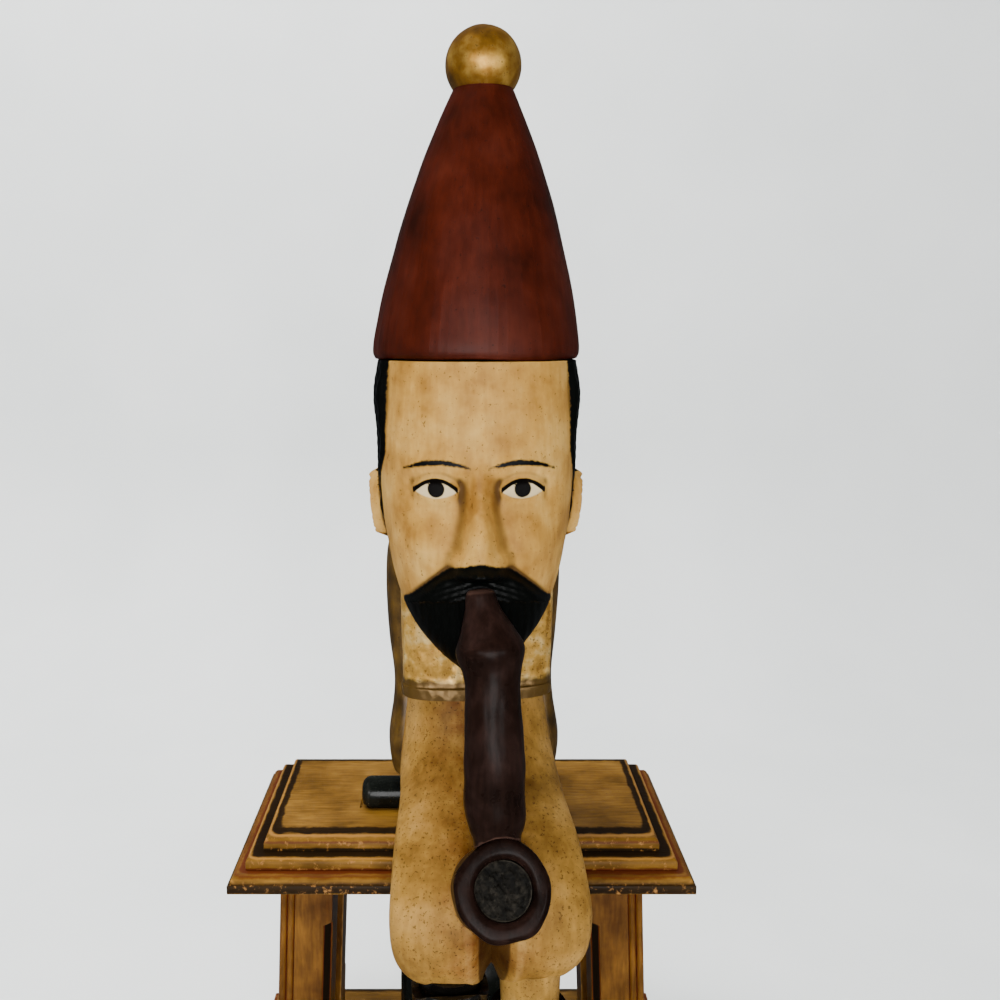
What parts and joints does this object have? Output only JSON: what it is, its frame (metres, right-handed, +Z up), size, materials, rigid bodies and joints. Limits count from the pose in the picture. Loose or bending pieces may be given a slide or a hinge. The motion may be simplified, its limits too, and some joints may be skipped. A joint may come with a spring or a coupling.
{
  "type": "balance toy",
  "caption": "Carved and painted wooden balance toy: a seated man with a tall cap and a long pipe rocks on a bar across a moulded stand, kept upright by a weight slung below.",
  "frame": {"origin": "on the ground under the middle of the base", "axes": "front of the figure faces -Y, +X is the viewer's right, +Z is up"},
  "size_m": [0.21, 0.1936, 0.5041],
  "materials": {
    "stand_paint": "worn ochre paint with dark grooves",
    "bare_wood": "bare",
    "dark_steel": "dull",
    "black_iron": "black gloss paint",
    "black_bar": "black gloss paint",
    "cream_paint": "old cream paint, speckled",
    "face_paint": "old pale paint with black hair",
    "gold_leaf": "worn gold leaf",
    "ball_gold": "worn gold paint",
    "old_gold": "darkened gold paint",
    "oxblood_paint": "aged oxblood paint",
    "pipe_stain": "dark brown stain, waxed",
    "tobacco": "rough, blackened",
    "black_paint": "black gloss paint"
  },
  "bodies": {
    "stand": {"base_plinth": "stand_paint", "leg_front_left": "stand_paint", "leg_front_right": "stand_paint", "leg_rear_left": "stand_paint", "leg_rear_right": "stand_paint", "lower_moulding": "stand_paint", "upper_moulding": "stand_paint", "top_panel": "stand_paint", "leg_dowels": "bare_wood", "top_screws": "dark_steel"},
    "figure": {"pivot_bar": "black_bar", "seat_board": "bare_wood", "seat_screws": "dark_steel", "counterweight_rod": "dark_steel", "counterweight_drum": "black_iron", "lock_nut": "dark_steel", "washer": "dark_steel", "breeches": "cream_paint", "coat_back": "old_gold", "coat_front_left": "gold_leaf", "coat_front_right": "gold_leaf", "sleeve_left": "old_gold", "sleeve_right": "old_gold", "sleeve_pegs": "bare_wood", "waist_dowel": "bare_wood", "neck_dowel": "bare_wood", "head": "face_paint", "cap_dowel": "bare_wood", "cap": "oxblood_paint", "ball_dowel": "bare_wood", "ball": "ball_gold", "pipe_stem": "pipe_stain", "pipe_bowl": "pipe_stain", "tobacco_plug": "tobacco", "calf_left": "black_paint", "calf_right": "cream_paint", "boot_left": "black_paint", "boot_right": "black_paint", "knee_dowels": "bare_wood"}
  },
  "joints": [
    {"name": "figure_rock", "type": "hinge", "parent": "stand", "child": "figure", "pos_m": [0, -0.01, 0.166], "axis": [1, 0, 0], "range_deg": [-8, 8]}
  ]
}
